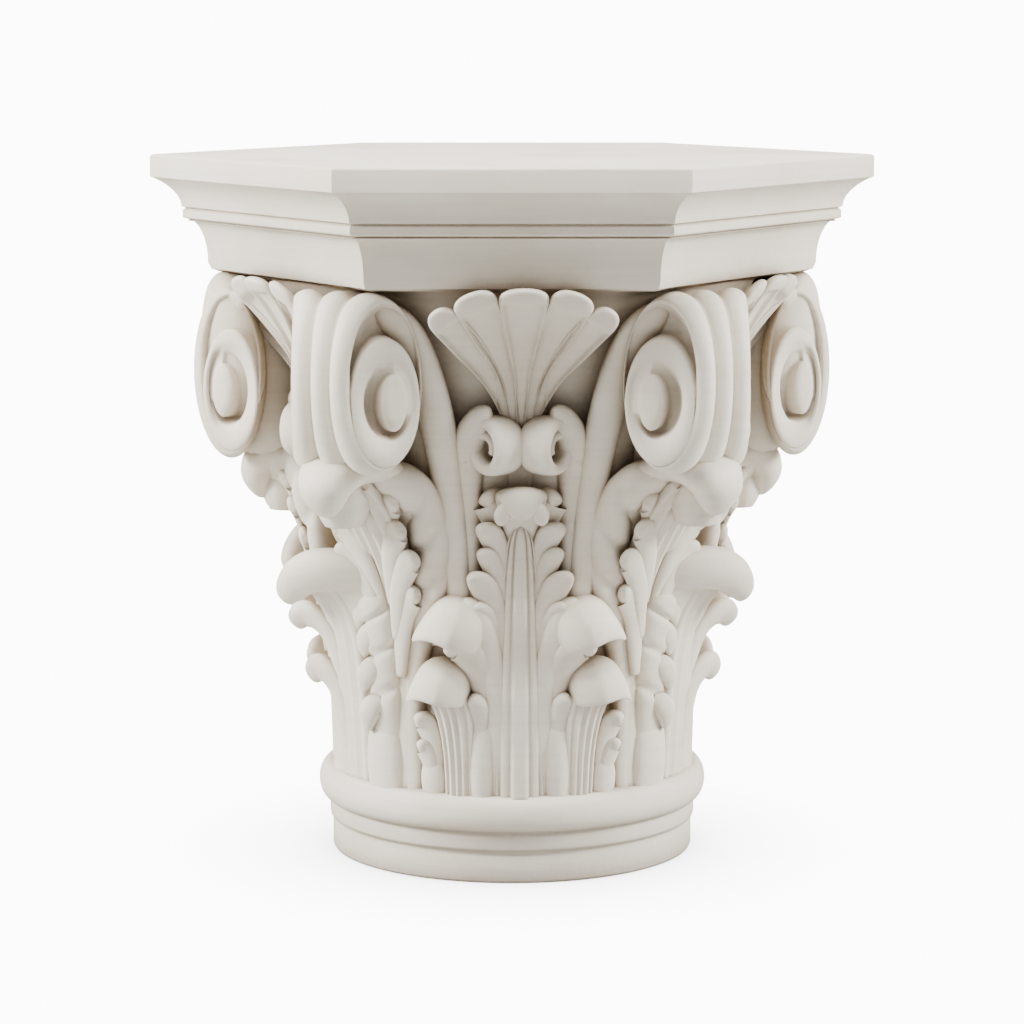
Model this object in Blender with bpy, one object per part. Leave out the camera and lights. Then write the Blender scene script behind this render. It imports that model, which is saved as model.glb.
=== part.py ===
# Corinthian capital, cast in one piece: turned foot, bell, leaves, volutes and mitred abacus.
# Metres, +Z up. The front looks along -Y and the underside stands on Z = 0.

import math

import bmesh
import bpy
from mathutils import Vector

MM = 0.001

# Foot: two plain bands and a torus, turned
BAND_RADIUS = 125.3 * MM
BAND_HEIGHT = 21.0 * MM
UPPER_BAND_RADIUS = 127.2 * MM
UPPER_BAND_HEIGHT = 14.0 * MM
TORUS_RADIUS = 134.7 * MM
TORUS_HEIGHT = 25.0 * MM
GROOVE_DEPTH = 1.8 * MM

# Bell: the cup that the leaves are carved on
BELL_FOOT_RADIUS = 119.0 * MM
BELL_FLARE = 49.0 * MM
BELL_HEIGHT = 340.0 * MM
FLARE_POWER = 3.3

# Abacus: six sides, mitred round the corners, with a fascia, an ovolo, a fillet and a cove
SIDE_CORNER = 247.8 * MM
FRONT_REACH = 213.3 * MM
FRONT_HALF = 112.5 * MM
FASCIA_HEIGHT = 15.5 * MM
ARRIS = 1.2 * MM
OVOLO_DROP = 20.5 * MM
OVOLO_SET = 19.6 * MM
FILLET_DROP = 8.2 * MM
FILLET_SET = 1.6 * MM
COVE_DROP = 30.0 * MM
COVE_SET = 11.8 * MM
EDGE_ROUND = 6.0 * MM

# Carving: faces with a palmette, corners with a volute, turned a little on the bell
CARVING_TURN = 2.3
FACE_ANGLE = 63.5
CORNER_ANGLE = 37.5
CARVING_SCALE = BELL_HEIGHT / (340.0 * MM)

# Corner volutes: an oval scroll on each side of a fluted rim
VOLUTE_REACH = 213.0 * MM
RIM_WIDTH = 46.0 * MM
SCROLL_WIDTH = 49.0 * MM
SCROLL_HEIGHT = 108.0 * MM
SCROLL_SPLAY = 34.5
SCROLL_DROP = 60.0 * MM
SIDE_VOLUTE_DROP = 6.0 * MM
FLUTE_DEPTH = 5.0 * MM
SCROLL_GROOVE = 12.0 * MM
NECK_SHARE = 0.7

# Facets
TURNED_SIDES = 60
SCROLL_SIDES = 40
STRAND_SIDES = 12
STRAND_STEPS = 16
CAP_STEPS = 10
END_ROUND = 0.16
FUSE_SIZE = 2.5 * MM
FACET_SHARE = 0.0200

# Overlap that joins the foot, the bell and the abacus inside the cast
CORE_INSET = 8.0 * MM

# Mirror images of a carved band: all four quarters, or the pair on the front or side axis
QUARTER = (0, 1, 2, 3)
FRONT = (0, 2)
SIDE = (0, 1)

FOOT_HEIGHT = BAND_HEIGHT + UPPER_BAND_HEIGHT + TORUS_HEIGHT
ABACUS_FOOT = FOOT_HEIGHT + BELL_HEIGHT
SCROLL_CENTRE = ABACUS_FOOT - SCROLL_DROP
ABACUS_HEIGHT = FASCIA_HEIGHT + OVOLO_DROP + FILLET_DROP + COVE_DROP + EDGE_ROUND
CAPITAL_HEIGHT = ABACUS_FOOT + ABACUS_HEIGHT


def clear_scene():
    for old in list(bpy.data.objects):
        bpy.data.objects.remove(old, do_unlink=True)


def bell_radius(height):
    """Radius of the bell at a height above the foot."""
    share = max(height, 0.0) / BELL_HEIGHT
    return BELL_FOOT_RADIUS + BELL_FLARE * share ** FLARE_POWER


def direction(degrees):
    """Level direction at an angle from the front, turning towards +X."""
    angle = math.radians(degrees)
    return Vector((math.sin(angle), -math.cos(angle), 0.0))


def mesh_object(name, bm):
    bmesh.ops.recalc_face_normals(bm, faces=bm.faces)
    mesh = bpy.data.meshes.new(name)
    bm.to_mesh(mesh)
    bm.free()
    made = bpy.data.objects.new(name, mesh)
    bpy.context.collection.objects.link(made)
    return made


def skin_rings(bm, rings):
    """Join rings of vertices in order and close both ends."""
    count = len(rings[0])
    for low, high in zip(rings, rings[1:]):
        for k in range(count):
            n = (k + 1) % count
            bm.faces.new((low[k], low[n], high[n], high[k]))
    for end in (rings[0], rings[-1]):
        middle = sum((v.co for v in end), Vector()) / count
        centre = bm.verts.new(middle)
        for k in range(count):
            bm.faces.new((end[k], end[(k + 1) % count], centre))


def turned(name, profile):
    """Solid of revolution from a profile of radius and height, bottom to top."""
    bm = bmesh.new()
    rings = []
    for radius, z in profile:
        ring = []
        for k in range(TURNED_SIDES):
            ring.append(bm.verts.new(direction(360.0 * k / TURNED_SIDES) * radius + Vector((0, 0, z))))
        rings.append(ring)
    skin_rings(bm, rings)
    return mesh_object(name, bm)


def foot_profile():
    """Bands and torus of the foot, with a core that rises into the bell."""
    lower = BAND_HEIGHT
    upper = lower + UPPER_BAND_HEIGHT
    points = [(BAND_RADIUS, 0.0), (BAND_RADIUS, lower - GROOVE_DEPTH), (BAND_RADIUS - GROOVE_DEPTH, lower)]
    points.append((UPPER_BAND_RADIUS, lower + GROOVE_DEPTH))
    points.append((UPPER_BAND_RADIUS, upper - GROOVE_DEPTH))
    points.append((UPPER_BAND_RADIUS - GROOVE_DEPTH, upper))
    bulge = TORUS_RADIUS - BAND_RADIUS
    for k in range(1, 8):
        turn = math.pi * k / 8
        radius = BAND_RADIUS + bulge * math.sin(turn)
        points.append((radius, upper + TORUS_HEIGHT * 0.5 * (1.0 - math.cos(turn))))
    points.append((BELL_FOOT_RADIUS - CORE_INSET, FOOT_HEIGHT))
    points.append((BELL_FOOT_RADIUS - CORE_INSET, FOOT_HEIGHT + CORE_INSET))
    return points


def bell_profile():
    """Cup from inside the torus up into the abacus."""
    steps = 24
    points = [(BELL_FOOT_RADIUS - CORE_INSET * 0.5, FOOT_HEIGHT - CORE_INSET)]
    for k in range(steps + 1):
        height = BELL_HEIGHT * k / steps
        points.append((bell_radius(height), FOOT_HEIGHT + height))
    points.append((bell_radius(BELL_HEIGHT), ABACUS_FOOT + CORE_INSET))
    return points


def abacus_profile():
    """Setback of the mitred faces and height, from the underside up to the top."""
    cove_in = OVOLO_SET + FILLET_SET + COVE_SET
    points = [(cove_in + EDGE_ROUND, ABACUS_FOOT)]
    points.append((cove_in + EDGE_ROUND * 0.3, ABACUS_FOOT + EDGE_ROUND * 0.3))
    points.append((cove_in, ABACUS_FOOT + EDGE_ROUND))
    top = ABACUS_FOOT + EDGE_ROUND
    for k in range(1, 5):
        turn = math.pi * 0.5 * k / 4
        set_back = cove_in - COVE_SET * (1.0 - math.cos(turn))
        points.append((set_back, top + COVE_DROP * math.sin(turn)))
    top += COVE_DROP
    points.append((OVOLO_SET, top))
    points.append((OVOLO_SET - FILLET_SET, top + FILLET_DROP))
    top += FILLET_DROP
    for k in range(1, 5):
        turn = math.pi * 0.5 * k / 4
        set_back = (OVOLO_SET - FILLET_SET) * math.cos(turn) ** 1.3
        points.append((set_back, top + OVOLO_DROP * math.sin(turn)))
    points.append((0.0, CAPITAL_HEIGHT - ARRIS))
    points.append((ARRIS, CAPITAL_HEIGHT))
    return points


def hexagon(set_back):
    """Corners of the six-sided plan, with every face moved in by the setback."""
    side = Vector((FRONT_REACH, SIDE_CORNER - FRONT_HALF)).normalized()
    side_reach = SIDE_CORNER * side.x - set_back
    corner = side_reach / side.x
    front = FRONT_REACH - set_back
    half = (side_reach - front * side.y) / side.x
    return [(half, -front), (corner, 0.0), (half, front), (-half, front), (-corner, 0.0), (-half, -front)]


def abacus():
    bm = bmesh.new()
    rings = []
    for set_back, z in abacus_profile():
        rings.append([bm.verts.new((x, y, z)) for x, y in hexagon(set_back)])
    skin_rings(bm, rings)
    return mesh_object("abacus", bm)


def catmull(values, t):
    """Smooth value at t along a list of evenly spaced values."""
    last = len(values) - 1
    place = min(max(t, 0.0), 1.0) * last
    k = min(int(place), last - 1)
    f = place - k
    before = values[max(k - 1, 0)]
    a, b = values[k], values[k + 1]
    after = values[min(k + 2, last)]
    slope_a = (b - before) * 0.5
    slope_b = (after - a) * 0.5
    h = f * f
    g = h * f
    return a * (2 * g - 3 * h + 1) + slope_a * (g - 2 * h + f) + b * (3 * h - 2 * g) + slope_b * (g - h)


def on_bell(angle, out, up):
    """Cylindrical place: angle, radius and height, from the bell's surface outwards."""
    height = up * CARVING_SCALE
    return angle, bell_radius(height) + out * CARVING_SCALE, FOOT_HEIGHT + height


def strand(name, points, widths, thicks):
    """Tapering carved band along points of angle, proud distance and height, in millimetres."""
    path = [Vector(p) for p in points]
    stations = [math.sin(math.pi * 0.5 * k / STRAND_STEPS) for k in range(STRAND_STEPS + 1)]
    bm = bmesh.new()
    rings = []
    normal = Vector((0.0, 1.0, 0.0))
    for t in stations:
        here = catmull(path, t)
        angle, radius, z = on_bell(here.x, here.y * MM, here.z * MM)
        near = catmull(path, min(t + 0.01, 1.0)) - catmull(path, max(t - 0.01, 0.0))
        tangent = Vector((math.radians(near.x) * radius / MM, near.y, near.z)).normalized()
        normal = (normal - tangent * normal.dot(tangent)).normalized()
        across = tangent.cross(normal)
        fade = 1.0
        if t > 1.0 - END_ROUND:
            fade = math.sqrt(max(1.0 - ((t - 1.0 + END_ROUND) / END_ROUND) ** 2, 0.01))
        half_w = catmull(widths, t) * 0.5 * MM * fade * CARVING_SCALE
        half_h = catmull(thicks, t) * 0.5 * MM * fade * CARVING_SCALE
        ring = []
        for k in range(STRAND_SIDES):
            turn = 2.0 * math.pi * (k + 0.5) / STRAND_SIDES
            off = across * (math.cos(turn) * half_w) + normal * (math.sin(turn) * half_h)
            spot = direction(angle + math.degrees(off.x / radius)) * (radius + off.y)
            ring.append(bm.verts.new(spot + Vector((0.0, 0.0, z + off.z))))
        rings.append(ring)
    skin_rings(bm, rings)
    return mesh_object(name, bm)


def cap(name, spot, sizes):
    """Rounded hood: an egg-shaped lump with its middle at a place on the bell, in millimetres."""
    angle, radius, z = on_bell(spot[0], spot[1] * MM, spot[2] * MM)
    wide, deep, tall = (size * MM * CARVING_SCALE for size in sizes)
    forward = direction(angle)
    aside = direction(angle + 90.0)
    centre = forward * radius + Vector((0.0, 0.0, z))
    bm = bmesh.new()
    rings = []
    for k in range(1, CAP_STEPS):
        rise = math.pi * k / CAP_STEPS
        level = math.sin(rise)
        ring = []
        for n in range(STRAND_SIDES):
            turn = 2.0 * math.pi * n / STRAND_SIDES
            flat = aside * (wide * level * math.cos(turn)) + forward * (deep * level * math.sin(turn))
            ring.append(bm.verts.new(centre + flat - Vector((0.0, 0.0, tall * math.cos(rise)))))
        rings.append(ring)
    skin_rings(bm, rings)
    return mesh_object(name, bm)


def mirrored(index):
    """Map from a point of the front right quarter to its image in one of the four quarters."""
    side = 1.0 if index in (0, 2) else -1.0

    def move(point):
        angle, out, up = point
        if index >= 2:
            angle = 180.0 - angle
        return (side * angle + CARVING_TURN, out, up)

    return move


def face_leaf(make):
    """Leaf on the front: stem, small upper lobes, drooping hoods and smooth tubes at the foot."""
    make("blade", [(0, -4, -4), (0, -2, 80), (0, 0, 140), (0, 5, 186)], [44, 50, 46, 34], [14, 14, 12, 10], where=FRONT)
    make("stem", [(0, 4, -4), (0, 6, 70), (0, 8, 140), (0, 13, 184)], [33, 31, 24, 15], [11, 11, 10, 8], where=FRONT)
    make("tip", [(0, 6, 160), (0, 12, 190), (0, 21, 204), (0, 28, 203), (0, 31, 188)],
         [14, 28, 34, 30, 16], [8, 10, 12, 11, 8], where=FRONT)
    make("shoulder", [(4.6, 3, 165), (6.6, 6, 185), (8.6, 11, 200), (9.6, 15, 198)], [11, 19, 24, 15], [10, 10, 10, 10])
    fingers = ((3.4, 128, 11.2, 183, 17), (3.6, 108, 11.2, 166, 15), (4.0, 84, 13.6, 151, 19), (4.6, 62, 12.6, 131, 16))
    for root, low, tip, high, width in fingers:
        path = [(root, 4, low), (root + 0.3 * (tip - root), 7, 0.45 * low + 0.55 * high),
                (root + 0.64 * (tip - root), 12, 0.12 * low + 0.88 * high), (tip, 20, high)]
        make("finger", path, [0.5 * width, 0.8 * width, width, 0.7 * width], [9, 9, 9, 9])
    make("arm", [(6.9, 1, -4), (7.0, 4, 40), (8.0, 6, 76), (10.8, 9, 102), (15.0, 13, 120), (18, 14, 124)],
         [11, 13, 17, 24, 30, 26], [10, 11, 12, 14, 16, 14])
    make("great_hood", (19.3, 13, 119), (19, 22, 17))
    make("under_lobe", [(8.8, 0, 10), (9.4, 3, 48), (11.4, 7, 78), (14.6, 14, 96), (17.6, 21, 102), (19.8, 23, 97)],
         [8, 12, 18, 22, 20, 12], [9, 9, 10, 11, 11, 9])
    make("low_arm", [(18.6, 2, -4), (18.6, 5, 30), (19.6, 8, 56), (22.4, 13, 74)], [20, 22, 26, 26], [11, 12, 13, 13])
    make("low_hood", (23.6, 12, 77), (18, 20, 15))
    make("knob", [(25.6, 1, 4), (26.6, 5, 30), (28.8, 10, 48), (31.2, 14, 45)], [9, 14, 17, 11], [9, 9, 9, 9])
    make("tube", [(11.8, 2, -4), (11.8, 4, 16), (11.8, 4, 38), (12.0, 3, 54)], [17, 18, 17, 12], [15, 16, 15, 9])
    make("low_tube", [(27.2, 1, -4), (27.2, 3, 12), (27.4, 2, 28)], [18, 19, 12], [13, 14, 8])


def great_leaf(make, axis, reach, crest, where):
    """Leaf under a volute: a blade that bends out into a hood, between smooth rolled edges."""
    path = [(axis, 0, -4), (axis, 2, 60), (axis, 4, 110), (axis, 12, 150), (axis, 0.42 * reach, 186),
            (axis, 0.70 * reach, crest - 6)]
    make("blade", path, [28, 32, 38, 46, 48, 40], [12, 12, 14, 16, 18, 16], where=where)
    roll = [(axis, 4, 186), (axis, 0.30 * reach, 212), (axis, 0.58 * reach, crest + 2), (axis, 0.80 * reach, crest),
            (axis, 0.92 * reach, crest - 8)]
    make("roll", roll, [84, 84, 66, 40, 28], [16, 20, 22, 22, 20], where=where)
    make("bulb", (axis, reach - 15, crest - 15), (15, 16, 19), where=where)
    for side in (1.0, -1.0):
        edge = ((2, 0, -4), (3, 1, 50), (6, 3, 95), (11.5, 8, 130), (14.5, 12, 165), (14, 18, 194), (10, 0.42 * reach, 214),
                (4, 0.60 * reach, crest))
        make("edge", [(axis + side * a, out, up) for a, out, up in edge], [22, 22, 22, 26, 29, 30, 30, 26],
             [11, 12, 14, 18, 22, 24, 22, 20], where=where)


def side_leaf(make):
    """Leaf between front and side volutes, with a wide hood that leans out as a breaking wave."""
    make("blade", [(61, 0, -4), (61, 4, 60), (61, 9, 105), (60, 22, 134), (59, 26, 142)], [42, 46, 54, 62, 50],
         [12, 12, 14, 16, 16])
    make("wave", [(43, 8, 138), (49, 20, 146), (56, 32, 147), (62, 40, 142), (67, 44, 130), (68.5, 43, 120)],
         [20, 28, 30, 28, 22, 12], [14, 20, 24, 24, 18, 12])
    for low, high, reach in ((36, 108, 29), (4, 70, 19)):
        make("outer_lobe", [(65, 2, low), (66.5, 5, low + 26), (70, 0.45 * reach, high - 12), (74.5, 0.8 * reach, high),
                            (78, reach, high - 3), (79.5, reach, high - 11)],
             [14, 18, 22, 24, 20, 12], [11, 12, 13, 13, 11, 9])
    make("edge", [(45.5, 2, 20), (44.4, 6, 56), (44, 8, 90), (44.4, 12, 118), (47, 16, 133)], [26, 27, 28, 30, 26],
         [14, 17, 19, 20, 16])
    make("tube", [(45.5, 3, -4), (45.5, 5, 14), (45.5, 5, 34), (45.2, 4, 48)], [31, 32, 29, 20], [15, 16, 15, 9])
    make("stem", [(75, 2, -4), (75, 3, 40), (75, 4, 90), (74, 8, 130)], [34, 36, 34, 30], [12, 12, 12, 10])


def palmette(make, middle):
    """Five petals on a flat fan that rises from the helices and leans under the abacus."""
    alone = middle == 0.0

    def fan(side, points):
        places = []
        for a, out, up in points:
            flat = bell_radius(up * MM * CARVING_SCALE) / (MM * CARVING_SCALE) + out
            places.append((middle + side * a, out + flat * (1.0 / math.cos(math.radians(a)) - 1.0), up))
        return places

    make("petal", [(middle, 10, 246), (middle, 14, 288), (middle, 19, 320), (middle, 27, 343)],
         [9, 16, 28, 34], [9, 9, 9, 9], where=FRONT if alone else QUARTER)
    for side in (1.0,) if alone else (1.0, -1.0):
        make("side_petal", fan(side, ((2.2, 8, 246), (4.8, 11, 285), (7.6, 16, 313), (10.2, 25, 340))),
             [9, 15, 25, 31], [9, 9, 9, 9])
        make("outer_petal", fan(side, ((4.6, 6, 246), (8.8, 9, 284), (13.0, 14, 305), (17.2, 23, 328))),
             [10, 17, 22, 20], [9, 9, 9, 9])
    make("backing", [(middle, 0, 220), (middle, 3, 270), (middle, 4, 320)], [30, 40, 80], [12, 12, 10],
         where=FRONT if alone else QUARTER)


def helix(make, middle):
    """Pair of small scrolls that rise beside the leaf and curl in under the palmette."""
    for side in (1.0,) if middle == 0.0 else (1.0, -1.0):
        path = ((15.4, 1, 96), (15.4, 3, 160), (15.0, 6, 205), (13.4, 10, 238), (10.0, 14, 254), (7.0, 16, 256))
        make("helix", [(middle + side * a, out, up) for a, out, up in path], [15, 18, 21, 22, 20, 18],
             [14, 14, 16, 17, 15, 12])
        make("helix_back", [(middle + side * 8, 0, 180), (middle + side * 8, 2, 215), (middle + side * 8, 4, 245)],
             [24, 30, 30], [10, 12, 14])
        make("helix_roll", (middle + side * 6.9, 17, 236), (17, 19, 20))


def stalk(make, middle, sides):
    """Stalk that climbs beside a scroll and closes over its top."""
    for side in sides:
        path = ((20, 4, 100), (19.2, 8, 160), (18.5, 14, 235), (17, 18, 275), (13.5, 19, 310), (8, 24, 330))
        make("stalk", [(middle + side * a, out, up) for a, out, up in path], [16, 20, 27, 30, 27, 20],
             [12, 14, 18, 18, 16, 12])
        back = ((13, 0, 100), (12, 4, 180), (11, 8, 260), (8, 14, 320))
        make("stalk_back", [(middle + side * a, out, up) for a, out, up in back], [30, 36, 44, 44], [12, 14, 18, 20])


def carvings():
    """Every carved band of the front right quarter, with its mirror images."""
    made = []

    def make(name, *shape, where=QUARTER):
        for index in where:
            move = mirrored(index)
            title = f"{name}_{len(made)}"
            if isinstance(shape[0], list):
                points, widths, thicks = shape
                made.append(strand(title, [move(p) for p in points], widths, thicks))
            else:
                spot, sizes = shape
                made.append(cap(title, move(spot), sizes))

    face_leaf(make)
    great_leaf(make, 39.5, 71.0, 218.0, QUARTER)
    great_leaf(make, 90.0, 46.0, 210.0, SIDE)
    side_leaf(make)
    palmette(make, 0.0)
    palmette(make, FACE_ANGLE)
    helix(make, 0.0)
    helix(make, FACE_ANGLE)
    stalk(make, CORNER_ANGLE, (1.0, -1.0))
    return made


def scroll_rings():
    """Nested ovals of a scroll face: shift along and down, half width, half height, sink and fade."""
    a = SCROLL_WIDTH * 0.5
    b = SCROLL_HEIGHT * 0.5
    body_b = 0.77 * b
    body_shift = b - body_b
    deep = -SCROLL_GROOVE
    rings = [(0.0, 0.0, a, b, 0.0, 0.0)]
    rings.append((0.02 * a, 0.04 * b, 0.80 * a, 0.84 * b, 0.0, 0.0))
    rings.append((0.05 * a, 0.75 * body_shift, 0.80 * a, body_b * 1.02, deep, 1.0))
    rings.append((0.05 * a, body_shift * 0.85, 0.78 * a, body_b * 0.93, 0.0, 0.0))
    rings.append((0.12 * a, body_shift * 0.90, 0.60 * a, body_b * 0.58, 0.0, 0.0))
    rings.append((0.16 * a, body_shift * 0.95, 0.50 * a, body_b * 0.50, deep, 2.0))
    rings.append((0.20 * a, body_shift, 0.32 * a, body_b * 0.40, 0.1 * SCROLL_GROOVE, 0.0))
    return rings


def scroll_point(ring, turn, side):
    """Point of a scroll face in the corner's frame: outwards, sideways and height."""
    shift, drop, half_w, half_h, sink, fade = ring
    along = SCROLL_WIDTH * 0.5 + shift - half_w * math.cos(turn)
    up = half_h * math.sin(turn) - drop
    if fade == 1.0:
        sink *= max(math.sin(turn), 0.0) ** 0.7
    if fade == 2.0:
        sink *= 0.5 - 0.5 * math.cos(turn - math.radians(50.0) + math.pi)
    splay = math.radians(SCROLL_SPLAY)
    out = VOLUTE_REACH - along * math.cos(splay) + sink * math.sin(splay)
    aside = RIM_WIDTH * 0.5 + along * math.sin(splay) + sink * math.cos(splay)
    return Vector((out, side * aside, SCROLL_CENTRE + up))


def volute(name, angle, drop):
    """Corner volute: a fluted rim between two splayed scroll faces."""
    bm = bmesh.new()
    radial = direction(angle)
    level = direction(angle + 90.0)

    def vert(p):
        return bm.verts.new(radial * p.x + level * p.y + Vector((0.0, 0.0, p.z - drop)))

    rows = []
    for ring in reversed(scroll_rings()):
        rows.append([vert(scroll_point(ring, 2.0 * math.pi * k / SCROLL_SIDES, 1.0)) for k in range(SCROLL_SIDES)])
    flutes = 6
    edge = scroll_rings()[0]
    for step in range(1, flutes):
        share = step / flutes
        row = []
        for k in range(SCROLL_SIDES):
            turn = 2.0 * math.pi * k / SCROLL_SIDES
            left = scroll_point(edge, turn, 1.0)
            right = scroll_point(edge, turn, -1.0)
            p = left.lerp(right, share)
            if step % 2:
                p.x += FLUTE_DEPTH * math.cos(turn)
                p.z += FLUTE_DEPTH * math.sin(turn)
            row.append(vert(p))
        rows.append(row)
    for ring in scroll_rings():
        rows.append([vert(scroll_point(ring, 2.0 * math.pi * k / SCROLL_SIDES, -1.0)) for k in range(SCROLL_SIDES)])
    skin_rings(bm, rows)
    return mesh_object(name, bm)


def neck(name, angle, drop):
    """Core from inside the bell into the middle of a volute, which joins the two."""
    bm = bmesh.new()
    radial = direction(angle)
    level = direction(angle + 90.0)
    half_w = NECK_SHARE * RIM_WIDTH * 0.5
    half_h = NECK_SHARE * SCROLL_HEIGHT * 0.5
    rings = []
    for reach in (BELL_FOOT_RADIUS - CORE_INSET, VOLUTE_REACH - NECK_SHARE * SCROLL_WIDTH):
        centre = radial * reach + Vector((0.0, 0.0, SCROLL_CENTRE - drop))
        ring = []
        for k in range(STRAND_SIDES):
            turn = 2.0 * math.pi * k / STRAND_SIDES
            ring.append(bm.verts.new(centre + level * (half_w * math.cos(turn)) + Vector((0.0, 0.0, half_h * math.sin(turn)))))
        rings.append(ring)
    skin_rings(bm, rings)
    return mesh_object(name, bm)


def volutes():
    """Volutes at the four corners and the two sides, each on its neck."""
    made = []
    places = [(angle, 0.0) for angle in (CORNER_ANGLE, -CORNER_ANGLE, 180.0 - CORNER_ANGLE, CORNER_ANGLE - 180.0)]
    places += [(90.0, SIDE_VOLUTE_DROP), (-90.0, SIDE_VOLUTE_DROP)]
    for angle, drop in places:
        made.append(volute(f"volute_{len(made)}", angle + CARVING_TURN, drop))
        made.append(neck(f"neck_{len(made)}", angle + CARVING_TURN, drop))
    return made


def plaster():
    material = bpy.data.materials.new("plaster")
    material.use_nodes = True
    shader = material.node_tree.nodes["Principled BSDF"]
    shader.inputs["Base Color"].default_value = (0.78, 0.76, 0.71, 1.0)
    shader.inputs["Roughness"].default_value = 0.75
    shader.inputs["Metallic"].default_value = 0.0
    return material


def unite(target, name, pieces):
    """Union of an object with others, which become hidden guides."""
    group = bpy.data.collections.new(name)
    bpy.context.scene.collection.children.link(group)
    for piece in pieces:
        bpy.context.collection.objects.unlink(piece)
        group.objects.link(piece)
        piece.hide_render = True
        piece.display_type = "WIRE"
    union = target.modifiers.new(name, "BOOLEAN")
    union.operation = "UNION"
    union.operand_type = "COLLECTION"
    union.collection = group
    union.solver = "MANIFOLD"


def carved_bell():
    """Bell with its leaves, petals and volutes, fused as the cast is and cut to few facets."""
    bell = turned("carved_bell", bell_profile())
    unite(bell, "carving", volutes() + carvings())
    fuse = bell.modifiers.new("fuse", "REMESH")
    fuse.mode = "VOXEL"
    fuse.voxel_size = FUSE_SIZE
    facets = bell.modifiers.new("facets", "DECIMATE")
    facets.ratio = FACET_SHARE
    facets.use_collapse_triangulate = True
    return bell


def main():
    clear_scene()
    capital = turned("corinthian_capital", foot_profile())
    capital.data.materials.append(plaster())
    unite(capital, "upper_work", [carved_bell(), abacus()])


main()
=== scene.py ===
import math

import bmesh
import bpy
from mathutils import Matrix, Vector


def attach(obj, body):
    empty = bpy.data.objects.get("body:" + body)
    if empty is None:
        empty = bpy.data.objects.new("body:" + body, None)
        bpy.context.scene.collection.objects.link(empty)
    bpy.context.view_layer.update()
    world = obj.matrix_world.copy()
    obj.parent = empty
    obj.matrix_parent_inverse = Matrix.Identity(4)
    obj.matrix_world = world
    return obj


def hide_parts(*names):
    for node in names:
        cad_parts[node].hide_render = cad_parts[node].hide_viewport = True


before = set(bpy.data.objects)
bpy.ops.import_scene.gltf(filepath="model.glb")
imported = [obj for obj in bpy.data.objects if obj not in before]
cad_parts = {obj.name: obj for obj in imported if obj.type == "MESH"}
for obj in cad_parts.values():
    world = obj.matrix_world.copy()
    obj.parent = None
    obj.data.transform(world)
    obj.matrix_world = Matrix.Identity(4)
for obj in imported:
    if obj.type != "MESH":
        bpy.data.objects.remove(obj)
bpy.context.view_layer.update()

MM = 0.001

# Foot: two plain bands and a torus, turned
BAND_RADIUS = 125.3
BAND_HEIGHT = 21.0
UPPER_BAND_RADIUS = 127.2
UPPER_BAND_HEIGHT = 14.0
TORUS_RADIUS = 134.7
TORUS_HEIGHT = 25.0
GROOVE_DEPTH = 1.8

# Bell: the cup that the leaves are carved on
BELL_FOOT_RADIUS = 119.0
BELL_FLARE = 49.0
BELL_HEIGHT = 340.0
FLARE_POWER = 3.3

# Abacus: six sides, mitred round the corners, with a fascia, an ovolo, a fillet and a cove
SIDE_CORNER = 247.8
FRONT_REACH = 213.3
FRONT_HALF = 112.5
FASCIA_HEIGHT = 15.5
OVOLO_DROP = 20.5
OVOLO_SET = 19.6
FILLET_DROP = 8.2
FILLET_SET = 1.6
COVE_DROP = 30.0
COVE_SET = 11.8
EDGE_ROUND = 6.0
QUIRK = 1.4

# Carving: faces with a palmette, corners with a volute, turned a little on the bell
CARVING_TURN = 2.3
FACE_ANGLE = 63.5
CORNER_ANGLE = 37.5
SIDE_ANGLE = 90.0

# Great leaves under the volutes: how far they lean out and how high they crest on the bell
CORNER_LEAF_ANGLE = 39.5
CORNER_LEAF_REACH = 71.0
CORNER_LEAF_CREST = 218.0
EDGE_LEAF_REACH = 46.0
EDGE_LEAF_CREST = 210.0

# Corner volutes: an oval scroll on each side of a fluted rim
VOLUTE_REACH = 213.0
RIM_WIDTH = 46.0
SCROLL_WIDTH = 49.0
SCROLL_HEIGHT = 108.0
SCROLL_SPLAY = 34.5
SCROLL_CENTRE = 340.0
SIDE_VOLUTE_DROP = 6.0
FLUTE_DEPTH = 5.0
SCROLL_GROOVE = 14.0

# Helices: small scrolls that roll up under each palmette
HELIX_HEIGHT = 236.0
HELIX_RADIUS = 20.0
HELIX_TIGHTENING = 13.5
HELIX_WINDING = 600.0
HELIX_HALF_WIDTH = 13.5
HELIX_HALF_THICKNESS = 4.4
HELIX_EYE = 8.0

# Hoods: how far the outer end of the lip droops, as a share of the hood's height
HOOD_BEAK = 0.42

FOOT_HEIGHT = BAND_HEIGHT + UPPER_BAND_HEIGHT + TORUS_HEIGHT
ABACUS_FOOT = FOOT_HEIGHT + BELL_HEIGHT
ABACUS_HEIGHT = FASCIA_HEIGHT + OVOLO_DROP + FILLET_DROP + COVE_DROP + EDGE_ROUND
CAPITAL_HEIGHT = ABACUS_FOOT + ABACUS_HEIGHT

# How finely the curved pieces are divided
SCROLL_SIDES = 128
RIM_STEPS = 36
HELIX_STEPS = 64
HELIX_SIDES = 20
BALL_ROWS = 12
BALL_SIDES = 16
HOOD_SIDES = 70
HOOD_ROWS = 16
TURNED_SIDES = 192
TORUS_STEPS = 20
BELL_STEPS = 40
CURVE_STEPS = 8

# Plaster: its two tones, the warm dirt and painted shade in the hollows, and the tone of a brush mark
PLASTER_SHADE = (0.77, 0.69, 0.565)
PLASTER_TONE = (0.86, 0.795, 0.685)
# Dark end of the darkening in the hollows: painted shade where surfaces crowd together, with some real dirt
HOLLOW_DIRT_AND_SHADE = (0.40, 0.345, 0.28)
BRUSH_TONE = (0.84, 0.81, 0.76)
UNCHANGED = (1.0, 1.0, 1.0)
PLASTER_ROUGHNESS = 0.72
HOLLOW_WIDTH = 0.09
BRUSH_STRENGTH = 0.3

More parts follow.
